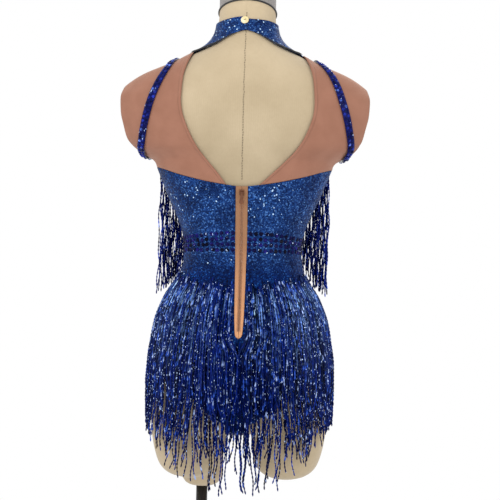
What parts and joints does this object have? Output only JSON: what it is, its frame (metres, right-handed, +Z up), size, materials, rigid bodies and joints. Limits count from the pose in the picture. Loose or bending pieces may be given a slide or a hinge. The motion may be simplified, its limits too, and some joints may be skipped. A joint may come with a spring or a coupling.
{
  "type": "rhinestone tassel bodysuit on dress form",
  "caption": "High-neck stretch bodysuit with keyhole back, net cap sleeves, beaded fringe and rhinestone bands, worn on a limbless dress form with pole and round base.",
  "frame": {"origin": "on the floor under the middle of the dress form", "axes": "+Z up, -Y towards the garment's back with its zip, +Y towards its front, +X to the right seen from the back"},
  "size_m": [0.44, 0.34, 1.4242],
  "materials": {
    "glitter": "royal blue stretch fabric covered in fine glitter",
    "net": "skin-tone stretch net",
    "stones": "faceted dark sapphire rhinestones on blue fabric",
    "beads": "strung bugle beads in navy and royal blue",
    "zip_tape": "tan woven zip tape",
    "zip_teeth": "brown nylon coil",
    "zip_metal": "tan enamelled metal",
    "button": "cream and gold, pearly",
    "canvas": "cream cotton canvas over a padded form",
    "felt": "grey brushed cloth",
    "piping": "black cord piping",
    "black_steel": "satin black powder coat"
  },
  "bodies": {
    "garment_on_form": {"front": "glitter", "back_left": "glitter", "back_right": "glitter", "gusset": "glitter", "collar_left": "glitter", "collar_right": "glitter", "yoke_back_left": "net", "yoke_back_right": "net", "yoke_front_left": "net", "yoke_front_right": "net", "sleeve_left": "net", "sleeve_right": "net", "armhole_band_left": "stones", "armhole_band_right": "stones", "zip_tape_left": "zip_tape", "zip_tape_right": "zip_tape", "zip_coil": "zip_teeth", "zip_slider": "zip_metal", "collar_button": "button", "hip_fringe_top": "beads", "hip_fringe_middle": "beads", "hip_fringe_low": "beads", "arm_fringe_left": "beads", "arm_fringe_right": "beads", "form_body": "canvas", "form_neck_cap": "felt", "form_piping": "piping", "stand_pole": "black_steel", "stand_base": "black_steel"},
    "zip_pull": {"zip_pull": "zip_metal"}
  },
  "joints": [
    {"name": "zip_pull_hinge", "type": "hinge", "parent": "garment_on_form", "child": "zip_pull", "pos_m": [0, -0.10623, 1.04794], "axis": [-1, 0, 0], "range_deg": [0, 150]}
  ]
}
